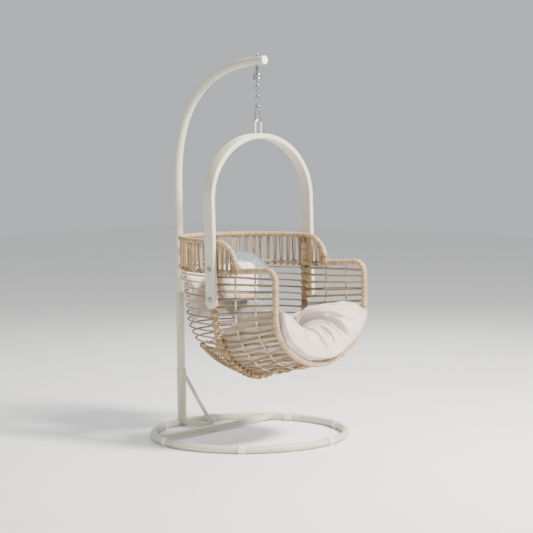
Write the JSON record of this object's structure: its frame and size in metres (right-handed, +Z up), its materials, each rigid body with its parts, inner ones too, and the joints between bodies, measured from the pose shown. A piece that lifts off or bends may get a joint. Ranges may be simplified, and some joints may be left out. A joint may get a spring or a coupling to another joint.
{
  "type": "hanging egg chair",
  "caption": "Woven basket seat with cushions, held in a flat hoop and hung by a swivel and chain from a swan-neck post on a round tube base.",
  "frame": {"origin": "middle of the bounding box, on the floor that the feet stand on", "axes": "+Z up, the seat faces -Y, the post stands at +Y, +X is to the sitter's left"},
  "size_m": [0.9978, 1.0245, 1.9148],
  "materials": {
    "ivory_paint": "satin powder coat",
    "white_plastic": "satin",
    "bare_steel": "plain",
    "chrome": "bright zinc",
    "rattan": "woven synthetic cane",
    "grey_rod": "satin",
    "stake": "satin",
    "cotton": "woven cotton",
    "grey_plush": "fluffy pile"
  },
  "bodies": {
    "stand": {"base_ring_rear": "ivory_paint", "base_ring_front": "ivory_paint", "ring_spigot_right": "bare_steel", "ring_spigot_left": "bare_steel", "base_chord": "ivory_paint", "base_stub": "ivory_paint", "post_socket": "ivory_paint", "post_brace": "ivory_paint", "post_pole": "ivory_paint", "post_sleeve": "bare_steel", "post_arch": "ivory_paint", "arch_end_cap": "white_plastic", "foot_clip_1": "white_plastic", "foot_clip_2": "white_plastic", "foot_clip_3": "white_plastic", "foot_clip_4": "white_plastic", "foot_clip_5": "white_plastic", "foot_clip_6": "white_plastic", "foot_clip_7": "white_plastic", "eye_bolt": "chrome", "eye_washer": "chrome", "eye_nut": "chrome"},
    "swivel_top": {"swivel_shackle": "chrome", "swivel_housing": "chrome", "swivel_bearing": "bare_steel"},
    "swivel_bottom": {"swivel_eye": "chrome"},
    "link_1": {"chain_link_1": "chrome"},
    "link_2": {"chain_link_2": "chrome"},
    "link_3": {"chain_link_3": "chrome"},
    "link_4": {"chain_link_4": "chrome"},
    "hook": {"snap_hook": "chrome"},
    "gate": {"snap_hook_gate": "chrome"},
    "seat": {"hoop": "ivory_paint", "hoop_loop": "ivory_paint", "side_bolt_right_upper": "chrome", "side_bolt_right_lower": "chrome", "side_bolt_left_upper": "chrome", "side_bolt_left_lower": "chrome", "side_nut_right_upper": "chrome", "side_nut_right_lower": "chrome", "side_nut_left_upper": "chrome", "side_nut_left_lower": "chrome", "front_hoop": "rattan", "rear_hoop": "rattan", "top_rail": "rattan", "belt_rail": "grey_rod", "belt_side_left": "grey_rod", "belt_side_right": "grey_rod", "seat_stake_rear": "stake", "seat_stake_front": "stake", "weave_seat_left": "rattan", "weave_seat_right": "rattan", "weave_back": "rattan", "weave_band": "rattan", "seat_cushion": "cotton", "back_pad": "cotton", "round_cushion": "grey_plush", "small_pillow": "cotton"}
  },
  "joints": [
    {"name": "swing_fore_aft", "type": "hinge", "parent": "stand", "child": "swivel_top", "pos_m": [0, -0.0682, 1.831], "axis": [-1, 0, 0], "range_deg": [-4, 15]},
    {"name": "swivel_turn", "type": "hinge", "parent": "swivel_top", "child": "swivel_bottom", "pos_m": [0, -0.0682, 1.79], "axis": [0, 0, 1], "range_deg": [-90, 90]},
    {"name": "link_1_rock", "type": "hinge", "parent": "swivel_bottom", "child": "link_1", "pos_m": [0, -0.0682, 1.7531], "axis": [0.7431, 0.6691, 0], "range_deg": [-0.3, 0.3]},
    {"name": "link_2_rock", "type": "hinge", "parent": "link_1", "child": "link_2", "pos_m": [0, -0.0682, 1.728], "axis": [0.6691, -0.7431, 0], "range_deg": [-0.35, 0.35]},
    {"name": "link_3_rock", "type": "hinge", "parent": "link_2", "child": "link_3", "pos_m": [0, -0.0682, 1.7024], "axis": [-0.7431, -0.6691, 0], "range_deg": [-0.5, 0.5]},
    {"name": "link_4_rock", "type": "hinge", "parent": "link_3", "child": "link_4", "pos_m": [0, -0.0682, 1.6768], "axis": [-0.6691, 0.7431, 0], "range_deg": [-0.5, 0.5]},
    {"name": "hook_rock", "type": "hinge", "parent": "link_4", "child": "hook", "pos_m": [0, -0.0682, 1.6512], "axis": [0.7431, 0.6691, 0], "range_deg": [-0.5, 0.5]},
    {"name": "seat_pitch", "type": "hinge", "parent": "swivel_bottom", "child": "seat", "pos_m": [0, -0.0682, 1.5856], "axis": [-1, 0, 0], "range_deg": [-3, 8]},
    {"name": "gate_open", "type": "hinge", "parent": "hook", "child": "gate", "pos_m": [0.00549, -0.07429, 1.6408], "axis": [0.7431, 0.6691, 0], "range_deg": [0, 20], "stiffness_Nm_per_rad": 0.15, "springref_deg": -11.46}
  ]
}
